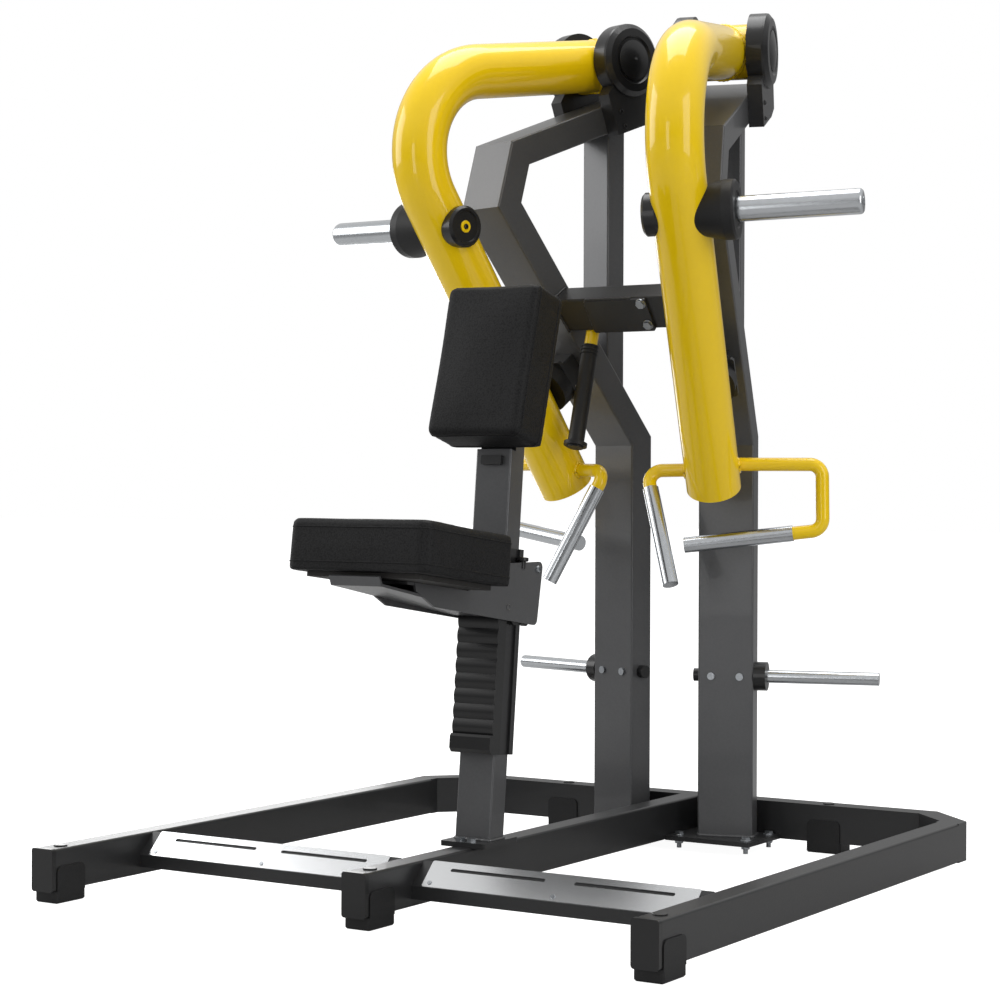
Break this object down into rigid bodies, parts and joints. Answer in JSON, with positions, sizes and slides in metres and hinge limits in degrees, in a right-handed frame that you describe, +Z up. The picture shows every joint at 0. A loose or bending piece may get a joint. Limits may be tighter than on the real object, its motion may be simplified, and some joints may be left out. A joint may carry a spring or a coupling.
{
  "type": "plate-loaded seated row machine",
  "caption": "Plate-loaded seated row machine: tube frame with chest pad, sliding seat, foot plates and independent lever arms that carry weight horns and handles.",
  "frame": {"origin": "on the floor, at the middle of the machine's floor area", "axes": "+Z up, +Y away from the user towards the uprights, +X to the seated user's right"},
  "size_m": [1.35, 1.424, 1.79],
  "materials": {
    "frame_paint": "satin powder coat",
    "base_paint": "satin powder coat",
    "yellow_paint": "gloss powder coat",
    "tread_steel": "brushed",
    "bright_bar": "polished",
    "zinc": "zinc plated",
    "rubber": "matte",
    "black_plastic": "fine texture",
    "pad_vinyl": "grained vinyl",
    "board": "painted plywood"
  },
  "bodies": {
    "frame": {"left_side_rail": "base_paint", "right_side_rail": "base_paint", "centre_rail": "base_paint", "rear_crossbar": "base_paint", "tread_supports": "base_paint", "left_tread": "tread_steel", "right_tread": "tread_steel", "tread_rivets": "zinc", "rubber_feet": "rubber", "rail_caps": "black_plastic", "rail_plugs": "black_plastic", "left_upright": "frame_paint", "right_upright": "frame_paint", "rear_posts": "frame_paint", "base_plates": "frame_paint", "base_bolts": "zinc", "cross_beam": "frame_paint", "beam_stub": "frame_paint", "joint_plate": "frame_paint", "beam_bolts": "zinc", "pivot_brackets": "frame_paint", "bearing_housings": "frame_paint", "pivot_bearings": "zinc", "hub_covers": "black_plastic", "stop_brackets": "frame_paint", "stop_rubbers": "rubber", "storage_horns": "bright_bar", "storage_collars": "black_plastic", "storage_screws": "zinc", "storage_plugs": "black_plastic", "assist_handle": "yellow_paint", "assist_grip": "rubber", "seat_post": "frame_paint", "chest_bracket": "frame_paint", "chest_pad": "pad_vinyl", "height_rack": "black_plastic", "guide_rails": "frame_paint"},
    "left_lever_arm": {"left_arm": "yellow_paint", "left_pivot_shaft": "zinc", "left_pivot_sleeve": "yellow_paint", "left_weight_horn": "bright_bar", "left_horn_collar": "rubber", "left_horn_boss": "black_plastic", "left_inner_handle": "yellow_paint", "left_outer_handle": "yellow_paint", "left_grips": "bright_bar"},
    "right_lever_arm": {"right_arm": "yellow_paint", "right_pivot_shaft": "zinc", "right_pivot_sleeve": "yellow_paint", "right_weight_horn": "bright_bar", "right_horn_collar": "rubber", "right_horn_boss": "black_plastic", "right_inner_handle": "yellow_paint", "right_outer_handle": "yellow_paint", "right_grips": "bright_bar"},
    "carriage": {"carriage_frame": "frame_paint", "carriage_rollers": "black_plastic", "seat_board": "board", "seat_pad": "pad_vinyl"}
  },
  "joints": [
    {"name": "left_arm_pivot", "type": "hinge", "parent": "frame", "child": "left_lever_arm", "pos_m": [-0.15163, 0.51903, 1.711], "axis": [-0.9588, 0.284, 0], "range_deg": [0, 50]},
    {"name": "right_arm_pivot", "type": "hinge", "parent": "frame", "child": "right_lever_arm", "pos_m": [0.15163, 0.51903, 1.711], "axis": [-0.9588, -0.284, 0], "range_deg": [0, 50]},
    {"name": "seat_slide", "type": "slide", "parent": "frame", "child": "carriage", "axis": [0, 0.0976, 0.9952], "range_m": [-0.17, 0.04]}
  ]
}
